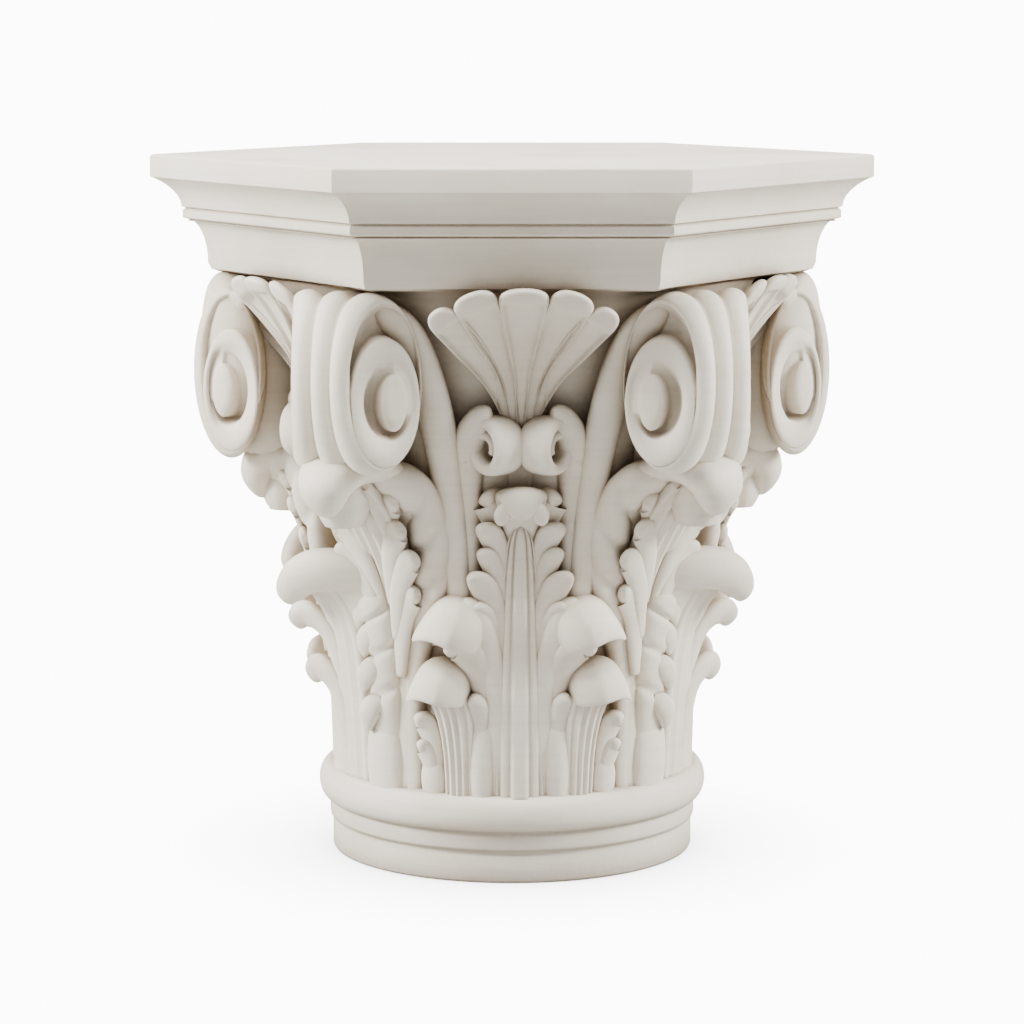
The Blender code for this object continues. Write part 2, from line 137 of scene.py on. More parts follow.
# Light and camera
SOFT_LIGHT = 0.30
FLOOR_GLOW = 12.0
CONTACT_SHADOW = (0.10, 0.095, 0.09)
CAMERA_LENS = 121.87
CAMERA_PLACE = (0.0, -2.3808, 0.5758)
CAMERA_PITCH = 8.198

# Copies of a carved piece by quarter: front right, front left, back right, back left
QUARTERS = (0, 1, 2, 3)
FRONT_AND_BACK = (0, 2)
BOTH_SIDES = (0, 1)


def direction(degrees):
    """Level direction at an angle from the front, turning towards +X."""
    angle = math.radians(degrees)
    return Vector((math.sin(angle), -math.cos(angle), 0.0))


def bell_radius(height):
    """Radius of the bell at a height above the foot."""
    share = max(height, 0.0) / BELL_HEIGHT
    return BELL_FOOT_RADIUS + BELL_FLARE * share ** FLARE_POWER


def catmull(values, t):
    """Smooth value at t along a list of evenly spaced values."""
    last = len(values) - 1
    place = min(max(t, 0.0), 1.0) * last
    k = min(int(place), last - 1)
    f = place - k
    before = values[max(k - 1, 0)]
    a, b = values[k], values[k + 1]
    after = values[min(k + 2, last)]
    slope_a = (b - before) * 0.5
    slope_b = (after - a) * 0.5
    h = f * f
    g = h * f
    return a * (2 * g - 3 * h + 1) + slope_a * (g - 2 * h + f) + b * (3 * h - 2 * g) + slope_b * (g - h)


def smooth_step(low, high, value):
    """Zero below low, one above high, and a soft rise between."""
    t = min(max((value - low) / (high - low), 0.0), 1.0)
    return t * t * (3.0 - 2.0 * t)


class Clay:
    """Lumps of one carved piece, kept as points in millimetres until they are built."""

    def __init__(self):
        self.points = []
        self.faces = []

    def add(self, points, faces):
        start = len(self.points)
        self.points.extend(points)
        self.faces.extend([tuple(start + k for k in face) for face in faces])

    def rings(self, rings):
        """Closed skin over rings of points."""
        count = len(rings[0])
        points = [p for ring in rings for p in ring]
        faces = []
        for r in range(len(rings) - 1):
            for k in range(count):
                n = (k + 1) % count
                faces.append((r * count + k, r * count + n, (r + 1) * count + n, (r + 1) * count + k))
        for ring in (0, len(rings) - 1):
            centre = sum(rings[ring], Vector()) / count
            points.append(centre)
            for k in range(count):
                faces.append((ring * count + k, ring * count + (k + 1) % count, len(points) - 1))
        self.add(points, faces)


def plain(t, u):
    """No relief."""
    return 0.0


def beside(axis, side, places):
    """Places of angle, proud distance and height, set off to one side of an axis."""
    return [(axis + side * a, out, up) for a, out, up in places]


def band(clay, points, widths, thicks, relief=plain, sides=20, steps=40, end_round=0.16, square=0.15):
    """Tapering carved band along points of angle, proud distance and height on the bell."""
    path = [Vector(p) for p in points]
    normal = Vector((0.0, 1.0, 0.0))
    rings = []
    power = 1.0 - 0.5 * square
    for step in range(steps + 1):
        t = math.sin(math.pi * 0.5 * step / steps)
        here = catmull(path, t)
        radius = bell_radius(here.z) + here.y
        near = catmull(path, min(t + 0.01, 1.0)) - catmull(path, max(t - 0.01, 0.0))
        tangent = Vector((math.radians(near.x) * radius, near.y, near.z)).normalized()
        normal = (normal - tangent * normal.dot(tangent)).normalized()
        across = tangent.cross(normal)
        fade = 1.0
        if t > 1.0 - end_round:
            fade = math.sqrt(max(1.0 - ((t - 1.0 + end_round) / end_round) ** 2, 0.004))
        half_w = catmull(widths, t) * 0.5 * fade
        half_h = catmull(thicks, t) * 0.5 * fade ** 0.7
        ring = []
        for k in range(sides):
            turn = 2.0 * math.pi * (k + 0.5) / sides
            u = math.copysign(abs(math.cos(turn)) ** power, math.cos(turn))
            v = math.copysign(abs(math.sin(turn)) ** power, math.sin(turn))
            lift = v * half_h
            if v > 0.0:
                lift += relief(t, u) * fade
            off = across * (u * half_w) + normal * lift
            spot = direction(here.x + math.degrees(off.x / radius)) * (radius + off.y)
            ring.append(Vector((spot.x, spot.y, FOOT_HEIGHT + here.z + off.z)))
        rings.append(ring)
    clay.rings(rings)


def finger(clay, side, path, width, thick=8.0):
    """Leaf finger that widens from the midrib and ends in a rounded, curling tip."""
    shares = (0.45, 0.80, 1.0, 0.60)
    widths = [width * catmull(shares, k / (len(path) - 1)) for k in range(len(path))]
    band(clay, beside(0.0, side, path), widths, [thick] * len(path), end_round=0.22, square=0.3)


def dome(clay, side, spot, sizes, roll=0.0, lip=-0.5):
    """Rounded hood: an egg-shaped cap with a sharp lip and a hollow underside."""
    a, out, up = spot
    wide, deep, tall = sizes
    forward = direction(side * a)
    aside = direction(side * a + 90.0) * side
    centre = forward * (bell_radius(up) + out) + Vector((0.0, 0.0, FOOT_HEIGHT + up))
    lean = math.radians(roll)
    rise = Vector((0.0, 0.0, 1.0)) * math.cos(lean) - aside * math.sin(lean)
    across = aside * math.cos(lean) + Vector((0.0, 0.0, 1.0)) * math.sin(lean)
    rows = []
    low = math.acos(-lip)
    for k in range(1, HOOD_ROWS + 1):
        turn = math.pi - (math.pi - low) * k / HOOD_ROWS
        rows.append((math.sin(turn) ** 0.85, -math.cos(turn)))
    rim = math.sin(low) ** 0.85
    for share, lift in ((0.96, -0.05), (0.88, -0.02), (0.70, 0.14), (0.40, 0.26), (0.10, 0.30)):
        rows.append((rim * share, lip + lift))
    rings = []
    for level, height in rows:
        ring = []
        for n in range(HOOD_SIDES):
            spin = 2.0 * math.pi * n / HOOD_SIDES
            flute = level * (1.0 - 0.030 * abs(math.sin(3.5 * spin)) * level)
            beak = 0.0
            if lip > -0.5:
                below = 1.0 - smooth_step(lip, 0.45, height)
                beak = HOOD_BEAK * max(math.cos(spin), 0.0) ** 3 * below * level / rim
            ring.append(centre + across * (wide * (flute + 0.4 * beak) * math.cos(spin))
                        + forward * (deep * flute * math.sin(spin)) + rise * (tall * (height - beak)))
        rings.append(ring)
    clay.rings(rings)


def column(clay, places, widths, thicks, creases):
    """Smooth rolled edge of a leaf, with shallow slanting creases."""
    def folds(t, u):
        return sum(-3.4 * math.exp(-((t - 0.06 * u - crease) / 0.022) ** 2) for crease in creases)
    band(clay, places, widths, thicks, folds, sides=24, steps=100)


def built(name, clay):
    """One mesh piece from all the lumps, which run into each other where they meet."""
    mesh = bpy.data.meshes.new(name)
    mesh.from_pydata([p * MM for p in clay.points], [], clay.faces)
    bm = bmesh.new()
    bm.from_mesh(mesh)
    bmesh.ops.recalc_face_normals(bm, faces=bm.faces)
    bm.to_mesh(mesh)
    bm.free()
    made = bpy.data.objects.new(name, mesh)
    bpy.context.collection.objects.link(made)
    return made


def placed(master, name, quarters):
    """Mirror images of a carved piece in the quarters, turned on the bell as the carving is."""
    made = []
    turn = math.radians(CARVING_TURN)
    for quarter in quarters:
        mesh = master.data.copy()
        flip_x = -1.0 if quarter in (1, 3) else 1.0
        flip_y = -1.0 if quarter in (2, 3) else 1.0
        for vertex in mesh.vertices:
            x, y = vertex.co.x * flip_x, vertex.co.y * flip_y
            vertex.co.x = x * math.cos(turn) - y * math.sin(turn)
            vertex.co.y = x * math.sin(turn) + y * math.cos(turn)
        if flip_x * flip_y < 0.0:
            mesh.flip_normals()
        piece = bpy.data.objects.new(f"{name}_{quarter}", mesh)
        bpy.context.collection.objects.link(piece)
        made.append(finished(piece))
    old = master.data
    bpy.data.objects.remove(master, do_unlink=True)
    bpy.data.meshes.remove(old)
    return made


def finished(piece):
    """Plaster skin on a piece of the capital, which rides with the cast."""
    for polygon in piece.data.polygons:
        polygon.use_smooth = True
    piece.data.materials.clear()
    piece.data.materials.append(PLASTER)
    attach(piece, "root")
    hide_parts("corinthian_capital")
    return piece


def strips(t, u):
    """Three flat strips of a stem, the middle one proud."""
    a = abs(u)
    grooves = math.exp(-((a - 0.42) / 0.05) ** 2) + math.exp(-((a - 0.80) / 0.05) ** 2)
    return 2.0 * (1.0 - smooth_step(0.34, 0.42, a)) - 2.6 * grooves


def face_leaf():
    """Leaf on the front: stem, small upper lobes, drooping hoods and smooth tubes at the foot."""
    clay = Clay()
    # Blade behind, stem in front, and the tip that curls over
    band(clay, [(0, -6, -4), (0, -4, 80), (0, -2, 140), (0, 3, 186)], [44, 50, 46, 34], [14, 14, 12, 8])
    band(clay, [(0, 4, -4), (0, 6, 70), (0, 8, 140), (0, 13, 184)], [33, 31, 24, 15], [11, 11, 10, 8], strips,
         sides=72, square=0.8)
    band(clay, [(0, 6, 160), (0, 12, 190), (0, 21, 204), (0, 28, 203), (0, 31, 190)],
         [14, 28, 34, 30, 12], [8, 10, 12, 11, 6], end_round=0.12)
    for side in (1.0, -1.0):
        face_fingers(clay, side)
        face_hoods(clay, side)
        face_tubes(clay, side)
    return placed(built("face_leaf", clay), "face_leaf", FRONT_AND_BACK)


def face_fingers(clay, side):
    """Fingers of the front leaf, from the claw at its tip downwards."""
    finger(clay, side, ((2.0, 24, 201), (3.4, 28, 199), (4.6, 29, 193), (5.0, 27, 186)), 11, 6)
    finger(clay, side, ((4.6, 3, 165), (6.6, 6, 185), (8.6, 11, 200), (9.6, 15, 198)), 24, 10)
    finger(clay, side, ((3.4, 4, 128), (5.0, 8, 156), (8.0, 13, 177), (11.2, 21, 183)), 17, 8)
    finger(clay, side, ((3.6, 4, 108), (5.6, 7, 138), (8.4, 12, 160), (11.2, 19, 166)), 15, 8)
    finger(clay, side, ((4.0, 4, 84), (6.6, 7, 118), (10.0, 12, 141), (13.6, 21, 151)), 19, 9)
    finger(clay, side, ((4.6, 4, 62), (7.2, 6, 98), (10.0, 11, 121), (12.6, 18, 131)), 16, 9)


def face_hoods(clay, side):
    """Two drooping hoods of the front leaf, each on the end of its arm."""
    def ribs(t, u):
        return 2.6 * abs(math.sin(2.5 * math.pi * (u + 0.2)))

    arm = ((6.9, 1, -4), (7.0, 4, 40), (8.0, 6, 76), (10.8, 9, 102), (15.0, 13, 120), (18, 14, 124))
    band(clay, beside(0.0, side, arm), [11, 13, 17, 24, 30, 26], [10, 11, 12, 14, 16, 14])
    dome(clay, side, (19.3, 11, 111), (22, 24, 25), 20.0, -0.22)
    under = ((8.8, 0, 10), (9.4, 3, 48), (11.4, 7, 78), (14.6, 14, 96), (17.6, 21, 102), (19.8, 23, 97))
    band(clay, beside(0.0, side, under), [7, 12, 18, 22, 20, 10], [8, 9, 10, 11, 11, 7])
    low_arm = ((18.6, 2, -4), (18.6, 5, 30), (19.6, 8, 56), (22.4, 13, 74))
    band(clay, beside(0.0, side, low_arm), [20, 22, 26, 26], [11, 12, 13, 13], ribs, sides=64)
    dome(clay, side, (23.4, 10, 71), (20, 22, 22), 12.0, -0.22)


def face_tubes(clay, side):
    """Small lobes low on the front leaf, the smooth tubes at its foot and the bed behind them."""
    finger(clay, side, ((25.6, 1, 4), (26.6, 5, 30), (28.8, 10, 48), (31.2, 14, 47)), 17, 9)
    finger(clay, side, ((26.6, 2, 0), (27.6, 5, 16), (29.4, 8, 30), (31.0, 11, 29)), 14, 8)
    finger(clay, side, ((12.6, 3, 26), (12.0, 6, 48), (12.8, 10, 62), (15.0, 13, 66)), 15, 10)
    tall = ((11.8, 2, -4), (11.8, 4, 16), (11.8, 4, 38), (12.0, 3, 54))
    band(clay, beside(0.0, side, tall), [17, 18, 17, 12], [15, 16, 15, 9], end_round=0.3)
    short = ((27.2, 1, -4), (27.2, 3, 12), (27.4, 2, 28))
    band(clay, beside(0.0, side, short), [18, 19, 12], [13, 14, 8], end_round=0.4)
    bed = ((18, -5, -4), (19, -3, 40), (20, 2, 84))
    band(clay, beside(0.0, side, bed), [46, 46, 36], [10, 11, 12])


def great_leaf(clay, axis, reach, crest):
    """Leaf under a volute: ribbed face that bends out into a hood, between smooth rolled edges."""
    def ribs(t, u):
        return 3.0 * abs(math.sin(3.0 * math.pi * (u + 0.17))) * smooth_step(0.10, 0.6, t)

    face = ((0, 0, -4), (0, 2, 60), (0, 4, 110), (0, 12, 150), (0, 0.42 * reach, 186),
            (0, 0.70 * reach, crest - 6), (0, 0.80 * reach, crest - 6))
    band(clay, beside(axis, 1.0, face), [26, 29, 34, 42, 46, 42, 34], [12, 12, 14, 14, 14, 12, 12],
         relief=ribs, sides=72)
    over = ((0, 4, 180), (0, 0.30 * reach, 209), (0, 0.58 * reach, crest + 5), (0, 0.84 * reach, crest + 4),
            (0, reach, crest - 8), (0, 0.97 * reach, crest - 26))
    band(clay, beside(axis, 1.0, over), [84, 86, 72, 52, 38, 18], [16, 20, 24, 28, 28, 16])
    dome(clay, 1.0, (axis, reach - 17, crest - 16), (18, 18, 22), 0.0, -0.75)
    for side in (1.0, -1.0):
        great_edge(clay, axis, side, reach, crest)


def great_edge(clay, axis, side, reach, crest):
    """Rolled edge of a great leaf, the web behind it and the fingers along it."""
    edge = ((2, 0, -4), (3, 1, 50), (6, 3, 95), (11.5, 8, 130), (14.0, 12, 165), (13.5, 18, 194),
            (10, 0.42 * reach, 212), (4, 0.60 * reach, crest + 1))
    column(clay, beside(axis, side, edge), [22, 22, 22, 26, 29, 30, 32, 28], [11, 12, 14, 18, 22, 24, 24, 22],
           (0.47, 0.60, 0.74))
    web = ((7, 0, 130), (8, 6, 165), (8, 0.26 * reach, 194), (6, 0.50 * reach, crest - 6))
    band(clay, beside(axis, side, web), [24, 30, 34, 30], [12, 16, 20, 18])
    for tip, high, root in ((9.6, 203, 150), (10.4, 184, 128), (12.4, 163, 104), (10.6, 138, 78)):
        lean = smooth_step(110.0, 210.0, high) * 0.36 * reach
        places = ((side * axis + 2.0, 6 + 0.4 * lean, root),
                  (side * axis + 0.45 * tip, 10 + 0.7 * lean, high - 24),
                  (side * axis + 0.80 * tip, 13 + 0.9 * lean, high - 5),
                  (side * axis + 1.08 * tip, 15 + lean, high - 4))
        finger(clay, side, places, 19, 8)


def corner_leaf():
    """Leaf under a corner volute."""
    clay = Clay()
    great_leaf(clay, CORNER_LEAF_ANGLE, CORNER_LEAF_REACH, CORNER_LEAF_CREST)
    return placed(built("corner_leaf", clay), "corner_leaf", QUARTERS)


def edge_leaf():
    """Leaf under a side volute."""
    clay = Clay()
    great_leaf(clay, SIDE_ANGLE, EDGE_LEAF_REACH, EDGE_LEAF_CREST)
    return placed(built("edge_leaf", clay), "edge_leaf", BOTH_SIDES)


def side_leaf():
    """Leaf between front and side volutes, with a wide hood that leans out as a breaking wave."""
    clay = Clay()

    def ribs(t, u):
        return 2.8 * abs(math.sin(2.5 * math.pi * (u - 0.1)))

    # Ribbed blade, and the hood that breaks over it
    band(clay, [(61, 0, -4), (61, 4, 60), (62, 9, 105), (63, 20, 130), (64, 30, 138)],
         [42, 46, 50, 52, 46], [12, 12, 13, 13, 10], relief=ribs, sides=48)
    band(clay, [(43, 8, 138), (49, 20, 146), (56, 32, 147), (62, 40, 142), (67, 44, 130), (68.5, 43, 120)],
         [20, 28, 30, 28, 22, 10], [14, 20, 24, 24, 18, 10])
    band(clay, [(56, 6, 100), (57, 14, 122), (58, 24, 140)], [70, 64, 48], [12, 14, 14])
    # Lobes that curl out on the far edge
    for low, high, reach in ((36, 108, 29), (4, 70, 19)):
        lobe = [(65, 2, low), (66.5, 5, low + 26), (70, 0.45 * reach, high - 12), (74.5, 0.8 * reach, high),
                (78, reach, high - 3), (79.5, reach, high - 11)]
        band(clay, lobe, [14, 18, 22, 24, 20, 10], [11, 12, 13, 13, 11, 7])
    # Rolled near edge with its scallops
    column(clay, [(45.5, 2, 20), (44.4, 6, 56), (44, 8, 90), (44.4, 12, 118), (47, 16, 133)],
           [26, 27, 28, 30, 26], [14, 17, 19, 20, 16], (0.30, 0.52, 0.74))
    for tip, high in ((52.6, 110), (50.0, 91), (50.6, 67), (48.8, 41)):
        scallop = [(44.5, 10, high + 17), (46.6, 14, high + 14), (0.6 * tip + 18.8, 15, high + 7),
                   (tip, 13, high - 4)]
        band(clay, scallop, [10, 16, 15, 5], [10, 11, 10, 5])
    # Smooth tube at the foot, and the bed behind the lobes
    band(clay, [(45.5, 3, -4), (45.5, 5, 14), (45.5, 5, 34), (45.2, 4, 48)], [31, 32, 29, 20],
         [15, 16, 15, 9], end_round=0.3)
    band(clay, [(75, 2, -4), (75, 3, 40), (75, 4, 90), (74, 8, 130)], [34, 36, 34, 30], [12, 12, 12, 10])
    return placed(built("side_leaf", clay), "side_leaf", QUARTERS)


def petal(clay, points, widths, thick=9.0):
    """Hollow petal with a thin raised rim and a rolled top."""
    def hollow(t, u):
        inside = 1.0 - smooth_step(0.76, 0.86, abs(u))
        inside *= 1.0 - smooth_step(0.81, 0.86, t)
        return -4.6 * inside * (0.8 + 0.2 * (1.0 - u * u))
    band(clay, points, widths, [thick] * len(points), relief=hollow, sides=48, steps=44, square=0.6,
         end_round=0.15)


def fan(middle, side, points):
    """Places of a petal on a flat fan that leans on the bell at its middle angle."""
    made = []
    for a, out, up in points:
        flat = (bell_radius(up) + out) * (1.0 / math.cos(math.radians(a)) - 1.0)
        made.append((middle + side * a, out + flat, up))
    return made


def palmette(middle, name, quarters):
    """Five petals over a pair of helices that curl in from their stalks."""
    clay = Clay()
    inner = ((1.0, 8, 246), (3.8, 11, 285), (7.1, 16, 313), (10.2, 25, 340))
    outer = ((2.0, 6, 246), (6.8, 9, 280), (12.0, 14, 305), (17.2, 23, 328))
    petal(clay, [(middle, 10, 246), (middle, 14, 288), (middle, 19, 320), (middle, 27, 343)], [5, 12, 27, 34])
    for side in (1.0, -1.0):
        petal(clay, fan(middle, side, inner), [5, 12, 24, 31])
        petal(clay, fan(middle, side, outer), [5, 13, 21, 20])
        helix(clay, middle, side)
    wide = 20 if middle == 0.0 else 50
    band(clay, [(middle, 0, 200), (middle, 5, 260), (middle, 6, 325)], [wide, 0.9 * wide + 14, wide + 54],
         [12, 12, 10])
    return placed(built(name, clay), name, quarters)


def helix(clay, middle, side):
    """Ribbon that rises beside the leaf, arches over and rolls up into a small scroll."""
    stem = ((15.4, 1, 96), (15.4, 3, 160), (15.0, 6, 205), (13.4, 10, 238), (10.0, 14, 254), (7.0, 16, 256))
    band(clay, beside(middle, side, stem), [15, 18, 21, 22, 20, 18], [14, 14, 16, 17, 15, 12])
    band(clay, beside(middle, side, ((8, 0, 180), (8, 2, 215), (8, 4, 245))), [24, 30, 30], [10, 12, 14])
    axis = direction(middle + side * 52.0)
    centre = direction(middle + side * 6.9) * (bell_radius(238) + 16)
    centre.z = FOOT_HEIGHT + HELIX_HEIGHT
    roll = Vector((0, 0, 1)).cross(axis) * -side
    rings = []
    for k in range(HELIX_STEPS + 1):
        t = k / HELIX_STEPS
        angle = math.radians(215.0 - HELIX_WINDING * t)
        radius = HELIX_RADIUS - HELIX_TIGHTENING * t
        out = roll * math.cos(angle) + Vector((0, 0, 1)) * math.sin(angle)
        ring = []
        for n in range(HELIX_SIDES):
            turn = 2.0 * math.pi * n / HELIX_SIDES
            wide = math.copysign(abs(math.cos(turn)) ** 0.6, math.cos(turn)) * (HELIX_HALF_WIDTH - 2.0 * t)
            thick = math.sin(turn) * HELIX_HALF_THICKNESS
            ring.append(centre + out * (radius + thick) + axis * (wide - 3.0 * t))
        rings.append(ring)
    clay.rings(rings)
    clay.rings(ball(centre - axis * 6.0, HELIX_EYE))


def ball(centre, radius):
    """Rings of a ball."""
    rings = []
    for k in range(1, BALL_ROWS):
        turn = math.pi * k / BALL_ROWS
        ring = []
        for n in range(BALL_SIDES):
            spin = 2.0 * math.pi * n / BALL_SIDES
            level = radius * math.sin(turn)
            up = -radius * math.cos(turn)
            ring.append(centre + Vector((level * math.cos(spin), level * math.sin(spin), up)))
        rings.append(ring)
    return rings


# The two grooves of a scroll: the outer one is deep at the top, the inner one beside the eye
OUTER_WHORL = 1
INNER_WHORL = 2


def scroll_rings():
    """Nested ovals of a scroll face: shift along and down, half width, half height, level, groove, whorl."""
    a = SCROLL_WIDTH * 0.5
    b = SCROLL_HEIGHT * 0.5
    deep = -SCROLL_GROOVE
    shares = ((0.00, 0.000, 1.000, 1.000, 0.0, 0.00, OUTER_WHORL),
              (0.00, 0.005, 0.985, 0.985, -0.2, 0.05, OUTER_WHORL),
              (0.01, 0.030, 0.970, 0.945, -1.4, 0.40, OUTER_WHORL),
              (0.02, 0.070, 0.960, 0.900, -1.8, 0.85, OUTER_WHORL),
              (0.02, 0.150, 0.955, 0.830, -1.8, 1.00, OUTER_WHORL),
              (0.02, 0.200, 0.950, 0.785, -1.8, 1.00, OUTER_WHORL),
              (0.02, 0.210, 0.940, 0.770, 0.0, 0.10, OUTER_WHORL),
              (0.03, 0.215, 0.900, 0.740, 1.0, 0.00, OUTER_WHORL),
              (0.08, 0.210, 0.790, 0.600, 0.4, 0.00, OUTER_WHORL),
              (0.12, 0.195, 0.700, 0.480, -0.6, 0.05, INNER_WHORL),
              (0.14, 0.190, 0.660, 0.450, -1.0, 0.35, INNER_WHORL),
              (0.17, 0.200, 0.560, 0.410, -1.0, 0.80, INNER_WHORL),
              (0.21, 0.215, 0.440, 0.370, -1.0, 1.00, INNER_WHORL),
              (0.24, 0.220, 0.370, 0.345, -0.8, 0.95, INNER_WHORL),
              (0.25, 0.220, 0.345, 0.335, 0.2, 0.10, INNER_WHORL),
              (0.25, 0.220, 0.300, 0.300, 0.8, 0.00, INNER_WHORL),
              (0.25, 0.220, 0.120, 0.120, 1.0, 0.00, INNER_WHORL))
    rings = []
    for x, y, w, h, level, groove, whorl in shares:
        rings.append((x * a, y * b, w * a, h * b, level, groove * deep, whorl))
    return rings


def scroll_point(ring, turn, side, eye):
    """Point of a scroll face in the corner's frame: outwards, sideways and height."""
    shift, drop, half_w, half_h, level, groove, whorl = ring
    if whorl == INNER_WHORL:
        shift *= eye
    along = SCROLL_WIDTH * 0.5 + shift - half_w * math.cos(turn)
    up = half_h * math.sin(turn) - drop
    if whorl == OUTER_WHORL:
        share = max(math.cos(turn - math.radians(100.0)), 0.0) ** 0.6
    else:
        quarter = math.radians(90.0)
        wind = quarter + eye * (turn - quarter) - math.radians(150.0)
        share = max(0.38 - 0.62 * math.cos(wind), 0.0) ** 0.7
    sink = level + groove * share
    splay = math.radians(SCROLL_SPLAY)
    out = VOLUTE_REACH - along * math.cos(splay) + sink * math.sin(splay)
    aside = RIM_WIDTH * 0.5 + along * math.sin(splay) + sink * math.cos(splay)
    return Vector((out, side * aside, SCROLL_CENTRE + up))


def volute(name, angle, drop, stalked):
    """Corner volute: a rim of three ridges between two splayed scroll faces."""
    clay = Clay()
    radial = direction(angle)
    level = direction(angle + 90.0)
    eye = 1.0 if stalked else -1.0
    rings = scroll_rings()
    turns = [2.0 * math.pi * k / SCROLL_SIDES for k in range(SCROLL_SIDES)]

    def real(p):
        return radial * p.x + level * p.y + Vector((0.0, 0.0, p.z - drop))

    rows = []
    for ring in reversed(rings):
        rows.append([real(scroll_point(ring, turn, 1.0, eye)) for turn in turns])
    for step in range(1, RIM_STEPS):
        share = step / RIM_STEPS
        swell = FLUTE_DEPTH * abs(math.sin(3.0 * math.pi * share)) ** 0.75
        row = []
        for turn in turns:
            p = scroll_point(rings[0], turn, 1.0, eye).lerp(scroll_point(rings[0], turn, -1.0, eye), share)
            p.x += swell * math.cos(turn)
            p.z += swell * math.sin(turn)
            row.append(real(p))
        rows.append(row)
    for ring in rings:
        rows.append([real(scroll_point(ring, turn, -1.0, eye)) for turn in turns])
    clay.rings(rows)
    if stalked:
        stalk(clay, angle)
    neck(clay, angle, stalked)
    return built(name, clay)


def stalk(clay, angle):
    """Stalk that rises out of the leaves and turns in behind the scroll, and the web behind it."""
    path = ((20, 4, 100), (18.8, 8, 160), (17.2, 14, 235), (15.4, 18, 275), (12.4, 19, 310), (8, 24, 330))
    back = ((13, 0, 100), (12, 4, 180), (11, 8, 260), (8, 14, 320))
    band(clay, beside(angle, -1.0, path), [16, 19, 23, 26, 25, 20], [12, 14, 18, 18, 16, 12])
    band(clay, beside(angle, -1.0, back), [30, 36, 44, 44], [12, 14, 18, 20])


def neck(clay, angle, stalked):
    """Thick web that carries a volute, wider and lower where there is no stalk."""
    swell = 1.0 if stalked else 1.6
    low = 206 if stalked else 186
    band(clay, [(angle, 0, low), (angle, 10 * swell, low + 34), (angle, 16 * swell, 284), (angle, 14, 338)],
         [24 * swell, 34 * swell, 44 * swell, 46 * swell], [24, 44 * swell, 52 * swell, 54])


def volutes():
    """Volutes over the four corners of the bell and its two sides."""
    made = placed(volute("corner_volute", CORNER_ANGLE, 0.0, True), "corner_volute", QUARTERS)
    made += placed(volute("side_volute", SIDE_ANGLE, SIDE_VOLUTE_DROP, False), "side_volute", BOTH_SIDES)
    return made


def turned(name, profile):
    """Solid of revolution from a profile of radius and height, bottom to top."""
    clay = Clay()
    rings = []
    for radius, z in profile:
        ring = []
        for k in range(TURNED_SIDES):
            ring.append(direction(360.0 * k / TURNED_SIDES) * radius + Vector((0, 0, z)))
        rings.append(ring)
    clay.rings(rings)
    return built(name, clay)


def foot():
    """Two plain bands and a torus, with soft grooves between them."""
    lower = BAND_HEIGHT
    upper = lower + UPPER_BAND_HEIGHT
    points = [(BAND_RADIUS - 2.0, 0.0), (BAND_RADIUS - 0.6, 0.6), (BAND_RADIUS, 2.0)]
    points.append((BAND_RADIUS, lower - GROOVE_DEPTH * 1.6))
    points.append((BAND_RADIUS - 0.5 * GROOVE_DEPTH, lower - 0.6 * GROOVE_DEPTH))
    points.append((BAND_RADIUS - 0.5 * GROOVE_DEPTH, lower + 0.4 * GROOVE_DEPTH))
    points.append((UPPER_BAND_RADIUS - 0.4, lower + GROOVE_DEPTH))
    points.append((UPPER_BAND_RADIUS, lower + 2.0 * GROOVE_DEPTH))
    points.append((UPPER_BAND_RADIUS, upper - 2.0 * GROOVE_DEPTH))
    points.append((UPPER_BAND_RADIUS - 0.4, upper - GROOVE_DEPTH))
    points.append((UPPER_BAND_RADIUS - GROOVE_DEPTH, upper))
    bulge = TORUS_RADIUS - BAND_RADIUS
    for k in range(1, TORUS_STEPS):
        turn = math.pi * k / TORUS_STEPS
        radius = BAND_RADIUS + bulge * math.sin(turn) ** 0.8
        points.append((radius, upper + TORUS_HEIGHT * 0.5 * (1.0 - math.cos(turn))))
    points.append((BELL_FOOT_RADIUS - 3.0, FOOT_HEIGHT + 1.0))
    return finished(turned("foot", points))


def bell():
    """Cup behind the carving."""
    points = [(BELL_FOOT_RADIUS - 4.0, FOOT_HEIGHT - 6.0)]
    for k in range(BELL_STEPS + 1):
        height = BELL_HEIGHT * k / BELL_STEPS
        points.append((bell_radius(height), FOOT_HEIGHT + height))
    points.append((bell_radius(BELL_HEIGHT), ABACUS_FOOT + 4.0))
    return finished(turned("bell", points))


def hexagon(set_back):
    """Corners of the six-sided plan, with every face moved in by the setback."""
    side = Vector((FRONT_REACH, SIDE_CORNER - FRONT_HALF)).normalized()
    side_reach = SIDE_CORNER * side.x - set_back
    corner = side_reach / side.x
    front = FRONT_REACH - set_back
    half = (side_reach - front * side.y) / side.x
    return [(half, -front), (corner, 0.0), (half, front), (-half, front), (-corner, 0.0), (-half, -front)]


